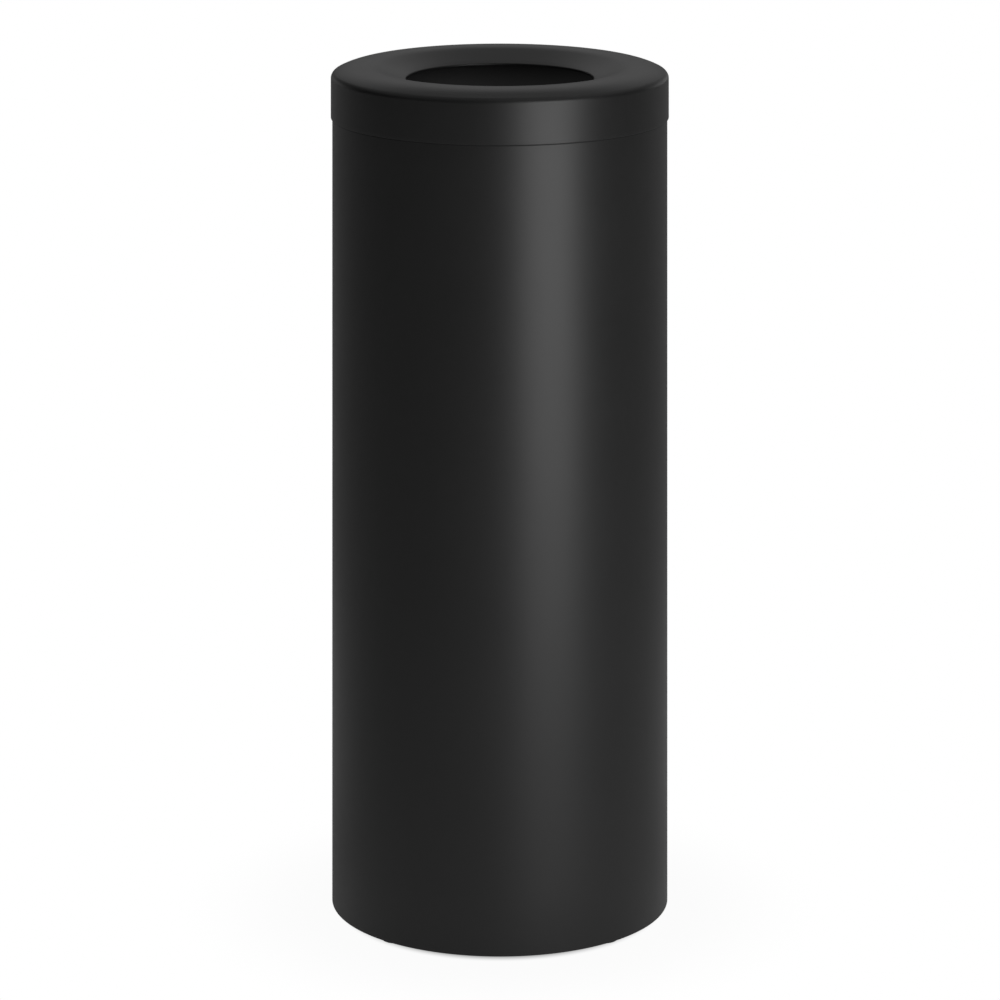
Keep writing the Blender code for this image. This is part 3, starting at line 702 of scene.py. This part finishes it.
# --------------------------------------------------------------------------
# feet, screws, washers, nuts
# --------------------------------------------------------------------------
for place in FEET:
    c = centre("foot_" + place)
    at = Matrix.Translation(Vector((c.x, c.y, 0.0)) * MM)
    lo, hi = mm_box("foot_" + place)
    h = hi.z
    profile = fillet([
        (11.2, h, 0.8), (12.7, h - 1.0, 1.0), (12.5, h - 3.2, 0.5), (12.0, h - 4.0, 0.4),
        (12.0, h - 4.8, 0.4), (13.0, h - 5.6, 0.6), (13.0, 0.0, 1.3), (6.2, 0.0, 0.5),
        (6.2, 5.3, 0.4), (2.85, 5.3, 0.25), (2.85, h, 0.25)], 4)
    foot = turned("foot_skin_" + place, profile, segs=64, place=at)
    dress(foot, "bin", "foot_" + place, "rubber", "rubber")

    lo, hi = mm_box("foot_screw_" + place)
    head_top = 5.0
    z0, z1 = lo.z, hi.z
    prof = [(0.0, z1), (1.8, z1, 0.2), (2.5, z1 - 0.8, 0.2)]
    z = z1 - 1.0
    while z > head_top + 1.6:                     # rolled thread, 0.8 mm pitch
        prof += [(2.5, z), (2.12, z - 0.4)]
        z -= 0.8
    prof += [(2.5, z), (2.5, head_top, 0.25), (4.6, head_top, 0.35), (4.6, z0 + 1.3, 1.1),
             (3.4, z0, 0.9), (0.0, z0)]
    screw = turned("screw_skin_" + place, fillet(prof, 4, closed=False), segs=40,
                   closed=False, place=at, angle=28.0)
    for turn in (0.0, pi / 2):                    # cross recess from below
        mesh = bpy.data.meshes.new("tool")
        bm = bmesh.new()
        bmesh.ops.create_cube(bm, size=1.0)
        for v in bm.verts:
            low = v.co.z < 0
            v.co = Vector((v.co.x * (4.6 if low else 2.4), v.co.y * (0.95 if low else 0.6),
                           (z0 - 0.5) if low else (z0 + 1.9)))
        bm.transform(at @ Matrix.Rotation(turn + 0.4, 4, "Z") @ Matrix.Scale(MM, 4))
        bmesh.ops.recalc_face_normals(bm, faces=bm.faces)
        bm.to_mesh(mesh)
        bm.free()
        boolean(screw, new_object("tool", mesh), angle=28.0)
    dress(screw, "bin", "foot_screw_" + place, "zinc", "zinc")

    lo, hi = mm_box("foot_washer_" + place)
    washer = turned("washer_skin_" + place, fillet([
        (2.85, hi.z, 0.1), (5.5, hi.z, 0.3), (5.5, lo.z, 0.1), (2.85, lo.z, 0.1)], 3),
        segs=48, place=at)
    dress(washer, "bin", "foot_washer_" + place, "zinc", "zinc")

    lo, hi = mm_box("foot_nut_" + place)
    flat = 4.0
    corner = flat / cos(pi / 6)
    hexa = turned("nut_skin_" + place, [(0.0, hi.z), (corner, hi.z), (corner, lo.z),
                                        (0.0, lo.z)], 6, closed=False, place=at)
    dome = turned("tool", [(0.0, hi.z + 0.4), (flat - 0.1, hi.z + 0.01),
                           (corner + 0.4, hi.z - 0.75), (corner + 0.4, lo.z + 0.75),
                           (flat - 0.1, lo.z - 0.01), (0.0, lo.z - 0.4)],
                  64, closed=False, place=at)
    boolean(hexa, dome, "INTERSECT", angle=20.0)
    boolean(hexa, rod(2.85, 12.0, (c.x, c.y, (lo.z + hi.z) / 2), (0, 0, 1)), angle=20.0)
    dress(hexa, "bin", "foot_nut_" + place, "zinc", "zinc")

# --------------------------------------------------------------------------
# liner bucket: wall with a wired, rolled rim, and its pressed base
# --------------------------------------------------------------------------
LR, LT = 132.0, 0.8
CURL_IN = 1.95
curl_cx, curl_z = LR + CURL_IN, 607.0
bottom = LINER_LO.z
body_line = arc(curl_cx, curl_z, CURL_IN + LT, 180.0, -105.0, 20)
back_line = arc(curl_cx, curl_z, CURL_IN, -105.0, 180.0, 20)
wall_z = [bottom + (curl_z - bottom) * f for f in (0.96, 0.8, 0.6, 0.4, 0.2)]


def bead(z):
    """Two shallow stiffening beads rolled into the wall."""
    out = 0.0
    for zc in (bottom + 90.0, curl_z - 70.0):
        d = abs(z - zc)
        if d < 5.0:
            out += 1.0 * cos(d / 5.0 * pi / 2) ** 2
    return out


zs = [bottom + 14.0, curl_z - 12.0]
for zc in (bottom + 90.0, curl_z - 70.0):
    zs += [zc + d for d in (-6, -5, -4, -3, -2, -1, 0, 1, 2, 3, 4, 5, 6)]
zs += [bottom + 60.0 * i for i in range(3, 9)]
zs = sorted(z for z in set(zs) if bottom + 1 < z < curl_z - 1)
outside = [(LR + bead(z), z) for z in reversed(zs)]
inside = [(LR - LT + bead(z), z) for z in zs]
profile = (body_line + back_line + outside
           + fillet([(LR, bottom + 2, 0), (LR, bottom, 0.2), (LR - LT, bottom, 0.2),
                     (LR - LT, bottom + 2, 0)], 3) + inside)
wall = turned("liner_skin", profile, segs=160)
ears = {}
for side, sx in (("left", -1), ("right", 1)):
    for depth, sy in (("front", -1), ("rear", 1)):
        c = centre("rivet_%s_%s" % (side, depth))
        boolean(wall, rod(2.2, 10.0, (c.x, c.y, PIVOT), (c.x, c.y, 0.0), 20))
dress(wall, "liner", "liner_wall", "galvanised", "galv")

lo, hi = mm_box("liner_rim_wire")
wire_r = (hi.z - lo.z) / 2 * 1.08
wire = turned("rim_wire_skin", arc(curl_cx, curl_z, 1.6, 0.0, 337.5, 15), segs=160)
dress(wire, "liner", "liner_rim_wire", "zinc", "zinc")

flange_r = BASE_HI.x
profile = fillet([
    (0.0, 24.5 + 1.2), (34.0, 24.5 + 1.2, 4.0), (44.0, 24.5, 4.0),
    (flange_r - 1.0, 24.5, 2.4), (flange_r - 1.0, BASE_HI.z, 0.4), (flange_r, BASE_HI.z, 0.4),
    (flange_r, BASE_LO.z, 3.4), (44.0, BASE_LO.z, 4.0), (34.0, BASE_LO.z + 1.2, 4.0),
    (0.0, BASE_LO.z + 1.2)], 4, closed=False)
base = turned("liner_base_skin", profile, segs=160, closed=False)
dress(base, "liner", "liner_base", "galvanised", "galv")

# --------------------------------------------------------------------------
# ears, rivets
# --------------------------------------------------------------------------
PAD_X, EAR_T = 135.5, 1.9
PAD_HALF, WING_R, EAR_HALF, EAR_H = 8.5, 132.4, 23.0, 24.0


def ear_path():
    start = PAD_HALF + 4.5
    pts = [(0.0, PAD_X), (PAD_HALF - 2.4, PAD_X)]
    a = Vector((PAD_HALF, PAD_X))
    b = Vector((start, sqrt(WING_R ** 2 - start ** 2)))
    pre, post = Vector((PAD_HALF - 2.4, PAD_X)), Vector((start + 2.0,
                                                        sqrt(WING_R ** 2 - (start + 2.0) ** 2)))
    for i in (1, 2, 3):                           # soft bends of the joggle
        f = i / 4
        pts.append(tuple(pre.lerp(a, f).lerp(a.lerp(b, 0.45), f)))
    for i in (1, 2, 3):
        f = i / 4
        pts.append(tuple(b.lerp(a, 0.45).lerp(b, f).lerp(b.lerp(post, f), f)))
    pts.append(tuple(post))
    for i in range(1, 5):
        y = post.x + (EAR_HALF - post.x) * i / 4
        pts.append((y, sqrt(WING_R ** 2 - y ** 2)))
    return pts


half_path = ear_path()
full = [(-y, x) for y, x in reversed(half_path[1:])] + half_path
for side, sx in (("left", -1), ("right", 1)):
    bm = bmesh.new()
    rows = []
    levels = 13
    for y, x in full:
        # the strap's ends are rounded in side view
        over = abs(y) - (EAR_HALF - 7.0)
        halfh = EAR_H / 2
        if over > 0:
            halfh = EAR_H / 2 - 7.0 + sqrt(max(0.0, 49.0 - over * over))
        rows.append([bm.verts.new((sx * x * MM, y * MM,
                                   (PIVOT + halfh * (2.0 * k / (levels - 1) - 1.0)) * MM))
                     for k in range(levels)])
    for ra, rb in zip(rows, rows[1:]):
        for k in range(levels - 1):
            q = (ra[k], rb[k], rb[k + 1], ra[k + 1])
            bm.faces.new(q if sx > 0 else tuple(reversed(q)))
    mesh = bpy.data.meshes.new("ear_skin_" + side)
    bm.to_mesh(mesh)
    bm.free()
    ear = new_object("ear_skin_" + side, mesh)
    solid = ear.modifiers.new("sheet", "SOLIDIFY")
    solid.thickness = EAR_T * MM
    solid.offset = 1.0
    solid.use_even_offset = True
    bev = ear.modifiers.new("edges", "BEVEL")
    bev.width = 0.3 * MM
    bev.segments = 2
    bev.limit_method = "ANGLE"
    bev.angle_limit = radians(50.0)
    apply_all(ear, 35.0)
    boolean(ear, rod(2.85, 12.0, (sx * PAD_X, 0.0, PIVOT), (1, 0, 0)), angle=35.0)
    for depth, sy in (("front", -1), ("rear", 1)):
        c = centre("rivet_%s_%s" % (side, depth))
        boolean(ear, rod(2.2, 12.0, (c.x, c.y, PIVOT), (c.x, c.y, 0.0), 20), angle=35.0)
    dress(ear, "liner", "ear_" + side, "zinc", "zinc")

    for depth, sy in (("front", -1), ("rear", 1)):
        node = "rivet_%s_%s" % (side, depth)
        c = centre(node)
        direction = Vector((c.x, c.y, 0.0)).normalized()
        head = WING_R + EAR_T + 0.2
        tail = LR - LT - 0.3
        turn = Vector((0, 0, 1)).rotation_difference(direction).to_matrix().to_4x4()
        place = Matrix.Translation(Vector((0, 0, PIVOT * MM))) @ turn
        prof = ([(0.0, head + 1.8)] + [(4.0 * sin(radians(a)), head + 1.8 * cos(radians(a)))
                                       for a in range(12, 90, 11)]
                + [(4.0, head), (2.0, head), (2.0, tail), (3.3, tail, 0.3),
                   (2.9, tail - 0.9, 0.4), (0.0, tail - 1.1)])
        rivet = turned("rivet_skin_%s_%s" % (side, depth), fillet(prof, 4, closed=False),
                       segs=32, closed=False, place=place)
        dress(rivet, "liner", node, "zinc", "zinc")

# --------------------------------------------------------------------------
# bail handle and grip
# --------------------------------------------------------------------------
R_HOOP, R_WIRE, DROOP = 142.5, 2.5, radians(16.0)


def hoop(deg):
    a = radians(deg)
    out = R_HOOP * sin(a)
    return Vector((R_HOOP * cos(a), -out * cos(DROOP), PIVOT - out * sin(DROOP)))


first = 4.2
p1 = Vector((R_HOOP, 0, PIVOT))
p0 = Vector((R_HOOP - 3.2, 0, PIVOT))
p2 = hoop(first)
pts = [Vector((x, 0, PIVOT)) for x in (133.0, 133.25, 133.6, 134.4, 134.8, 135.1, 135.3, 137.0)]
rad = [3.2, 3.55, 3.7, 3.7, 3.5, 2.9, 2.5, 2.5]
pts.append(p0)
rad.append(2.5)
for i in range(1, 8):
    f = i / 8
    pts.append((1 - f) ** 2 * p0 + 2 * f * (1 - f) * p1 + f * f * p2)
    rad.append(2.5)
n_arc = 40
for i in range(n_arc + 1):
    pts.append(hoop(first + (90.0 - first) * i / n_arc))
    rad.append(2.5)
mirror = [Vector((-p.x, p.y, p.z)) for p in reversed(pts[:-1])]
bail = tube("bail_skin", pts + mirror, rad + list(reversed(rad[:-1])), sides=24)
dress(bail, "bail", "bail_handle", "zinc", "zinc_x")

spread = 3 * (90.0 - first) / 11
n_grip = 40
pts = [hoop(90.0 - spread + 2 * spread * i / n_grip) for i in range(n_grip + 1)]
rad = [3.9] * (n_grip + 1)
ends = [(0.0, 3.35), (0.12, 3.62), (0.3, 3.8), (0.6, 3.9)]
start, tan0 = pts[0], (pts[1] - pts[0]).normalized()
stop, tan1 = pts[-1], (pts[-1] - pts[-2]).normalized()
pts = [start + tan0 * d for d, _ in ends] + pts[1:-1] + [stop - tan1 * d
                                                         for d, _ in reversed(ends)]
rad = [r for _, r in ends] + rad[1:-1] + [r for _, r in reversed(ends)]
grip = tube("grip_skin", pts, rad, sides=28, inner=2.75)
dress(grip, "bail", "bail_grip", "pvc", "pvc")

# --------------------------------------------------------------------------
# studio: pale floor, near-white surroundings, soft lights
# --------------------------------------------------------------------------
scene = bpy.context.scene
scene.view_settings.view_transform = "Standard"
scene.view_settings.look = "None"
scene.view_settings.exposure = 0.0
scene.view_settings.gamma = 1.0

PAPER = 1.0                # what the camera sees of floor and backdrop


class Sky(Nodes):
    """Node maths on a shader tree that isn't a surface finish."""

    def __init__(self, tree, output):
        self.t = tree
        self.coord = tree.nodes.new("ShaderNodeTexCoord").outputs[output]

    def window(self, value, a0, a1, b0, b1):
        return self.math("MULTIPLY", self.fade(value, a0, a1),
                         self.fade(value, b0, b1, 1.0, 0.0))


# floor: the camera sees seamless paper with a painted shadow, dark under the bin
# and very faint round it; the finishes see a grey floor with a painted glow
# that falls away into the dark of the studio
GLOW = [0.13, 0.06, 0.04, 0.08]      # near front, further front, near back, further back

bm = bmesh.new()
bmesh.ops.create_circle(bm, cap_ends=True, segments=96, radius=30.0)
mesh = bpy.data.meshes.new("studio_floor")
bm.to_mesh(mesh)
bm.free()
floor = bpy.data.objects.new("studio_floor", mesh)
scene.collection.objects.link(floor)
floor.location.z = -0.0002
floor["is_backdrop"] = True
mat = bpy.data.materials.new("studio_floor")
mat.use_nodes = True
nt = mat.node_tree
nt.nodes.clear()
n = Sky(nt, "Object")
out = nt.nodes.new("ShaderNodeOutputMaterial")
path = nt.nodes.new("ShaderNodeLightPath")
mix = nt.nodes.new("ShaderNodeMixShader")
diffuse = nt.nodes.new("ShaderNodeBsdfDiffuse")
diffuse.inputs["Color"].default_value = (0.8, 0.8, 0.8, 1)
glow = nt.nodes.new("ShaderNodeEmission")
add = nt.nodes.new("ShaderNodeAddShader")
x, y = n.axis(0), n.axis(1)
dist = n.math("SQRT", n.math("ADD", n.math("MULTIPLY", x, x), n.math("MULTIPLY", y, y)))
back = n.fade(y, -0.12, 0.12)
front = n.math("SUBTRACT", 1.0, back)
near = n.fade(dist, 0.30, 0.50, 1.0, 0.0)
far = n.math("SUBTRACT", n.fade(dist, 0.75, 1.45, 1.0, 0.0), near)
# painted light: the floor glows for the finishes, set by side and by distance from the bin
level = None
for gain, side, ring in zip(GLOW, (front, front, back, back), (near, far, near, far)):
    term = n.math("MULTIPLY", n.math("MULTIPLY", side, ring), gain)
    level = term if level is None else n.math("ADD", level, term)
n.link(level, glow.inputs["Strength"])
n.link(diffuse.outputs[0], add.inputs[0])
n.link(glow.outputs[0], add.inputs[1])
paper = nt.nodes.new("ShaderNodeEmission")
# painted shadow: 0.10 under the bin, up to full by 0.147 m, and a faint painted shadow out to
# 0.30 m
n.link(n.math("MULTIPLY", n.fade(dist, 0.126, 0.147, 0.10, 1.0),
              n.fade(dist, 0.146, 0.30, PAPER * 0.965, PAPER)), paper.inputs["Strength"])
n.link(path.outputs["Is Camera Ray"], mix.inputs["Fac"])
n.link(add.outputs[0], mix.inputs[1])
n.link(paper.outputs[0], mix.inputs[2])
n.link(mix.outputs[0], out.inputs["Surface"])
mesh.materials.append(mat)

# surroundings seen by the finishes, in soft-edged windows: strength, middle of
# the window in degrees round from the back towards +X, half its width, and its
# lowest and highest elevation
SKY = [
    (0.13, 0, 18, -5, 12), (0.65, 36, 18, -5, 12), (0.34, -36, 18, -5, 12),
    (0.45, 0, 18, 12, 30), (0.18, 36, 18, 12, 30), (0.04, -36, 18, 12, 30),
    (0.06, 72, 18, 12, 30), (0.49, 0, 36, 30, 42), (0.07, 0, 36, 42, 56),
    (0.33, 72, 36, 30, 52), (0.24, -72, 36, 30, 52), (0.61, 0, 60, 56, 74),
    (0.42, 120, 60, 52, 72), (0.17, -120, 60, 52, 72), (0.19, 0, 190, 74, 95),
    (0.07, 180, 80, 30, 76),
]
world = bpy.data.worlds.new("studio")
scene.world = world
world.use_nodes = True
nt = world.node_tree
nt.nodes.clear()
n = Sky(nt, "Generated")
out = nt.nodes.new("ShaderNodeOutputWorld")
path = nt.nodes.new("ShaderNodeLightPath")
mix = nt.nodes.new("ShaderNodeMixShader")
seen = nt.nodes.new("ShaderNodeBackground")
seen.inputs["Color"].default_value = (1, 1, 1, 1)
seen.inputs["Strength"].default_value = PAPER
lit = nt.nodes.new("ShaderNodeBackground")
lit.inputs["Color"].default_value = (1, 1, 1, 1)
elev = n.math("ARCSINE", n.axis(2))
turn = n.math("ARCTAN2", n.axis(0), n.axis(1))
total = None
for gain, middle, half, low, high in SKY:
    off = n.math("ARCCOSINE", n.math("COSINE", n.math("SUBTRACT", turn, radians(middle))))
    around = n.fade(off, radians(half - 8), radians(half + 8), 1.0, 0.0)
    up = n.window(elev, *[radians(v) for v in (low - 4, low + 4, high - 4, high + 4)])
    term = n.math("MULTIPLY", n.math("MULTIPLY", around, up), gain)
    total = term if total is None else n.math("ADD", total, term)
n.link(total, lit.inputs["Strength"])
n.link(path.outputs["Is Camera Ray"], mix.inputs["Fac"])
n.link(lit.outputs[0], mix.inputs[1])
n.link(seen.outputs[0], mix.inputs[2])
n.link(mix.outputs[0], out.inputs["Surface"])

# key: a tall curved softbox standing on the floor at the front right, brighter
# at its foot and head than in the middle
KEY_LOW, KEY_MID, KEY_TOP = 4.36, 2.16, 3.70
KEY_DIST, KEY_FROM, KEY_TO = 2.0, 15.0, 50.0
bm = bmesh.new()
cols = []
for i in range(13):
    a = radians(KEY_FROM + (KEY_TO - KEY_FROM) * i / 12)
    cols.append([bm.verts.new((KEY_DIST * sin(a), -KEY_DIST * cos(a), z))
                 for z in (0.0, 0.35, 0.8, 1.5)])
for ca, cb in zip(cols, cols[1:]):
    for k in range(3):
        bm.faces.new((ca[k], ca[k + 1], cb[k + 1], cb[k])).material_index = k
mesh = bpy.data.meshes.new("key_softbox")
bm.to_mesh(mesh)
bm.free()
for k, gain in enumerate((KEY_LOW, KEY_MID, KEY_TOP)):
    mat = bpy.data.materials.new("key_softbox_%d" % k)
    mat.use_nodes = True
    nt = mat.node_tree
    nt.nodes.clear()
    out = nt.nodes.new("ShaderNodeOutputMaterial")
    em = nt.nodes.new("ShaderNodeEmission")
    em.inputs["Strength"].default_value = gain
    nt.links.new(em.outputs[0], out.inputs["Surface"])
    mesh.materials.append(mat)
key = bpy.data.objects.new("key_softbox", mesh)
scene.collection.objects.link(key)
key.visible_camera = False
key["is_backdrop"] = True

# --------------------------------------------------------------------------
# camera: level, far off, looking along +Y, with the lens shifted down
# --------------------------------------------------------------------------
LENS, SHIFT = 159.00, -1.1159
CAM_Z = 1.3554 + SHELL_LO.z * MM
CAM_Y = -26.377 * 0.150
cam_data = bpy.data.cameras.new("camera")
cam = bpy.data.objects.new("camera", cam_data)
scene.collection.objects.link(cam)
scene.camera = cam
cam_data.sensor_width = 36.0
cam_data.lens = LENS
cam_data.shift_x = 0.0002
cam_data.shift_y = SHIFT
cam_data.clip_start, cam_data.clip_end = 0.05, 200.0
cam.rotation_mode = "XYZ"
cam.location = (0.0, CAM_Y, CAM_Z)
cam.rotation_euler = (pi / 2, 0.0, 0.0)


def drive(path, rest, expression):
    """Drives a lens setting.  turned is 1 while the camera stands level on its
    Euler angles and 0 once it is swung elsewhere on a quaternion, where the
    shift has to go.  up is how far the lid has been lifted, so that the frame
    widens to keep a raised lid and liner in view."""
    curve = cam_data.driver_add(path)
    driver = curve.driver
    driver.type = "SCRIPTED"
    mode = driver.variables.new()
    mode.name = "turned"
    mode.targets[0].id = cam
    mode.targets[0].data_path = "rotation_mode"
    lift = driver.variables.new()
    lift.name = "up"
    lift.type = "TRANSFORMS"
    lift.targets[0].id = frame["bodies"]["lid"]
    lift.targets[0].transform_type = "LOC_Z"
    lift.targets[0].transform_space = "WORLD_SPACE"
    driver.expression = expression


# the frame's middle looks at MID while the lid is down and climbs with it
MID = CAM_Z + SHIFT * 36.0 / LENS * -CAM_Y
WIDEN = 1.42
drive("lens", LENS, "%.6f / (1 + %.6f * up) if turned == 1 else %.6f" % (LENS, WIDEN, LENS))
drive("shift_y", SHIFT,
      "(%.6f + up / 2 - %.6f) / %.6f * %.6f / (1 + %.6f * up) / 36 if turned == 1 else 0"
      % (MID, CAM_Z, -CAM_Y, LENS, WIDEN))

# --------------------------------------------------------------------------
# bounds of the finished piece, backdrop left out
# --------------------------------------------------------------------------
lo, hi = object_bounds()
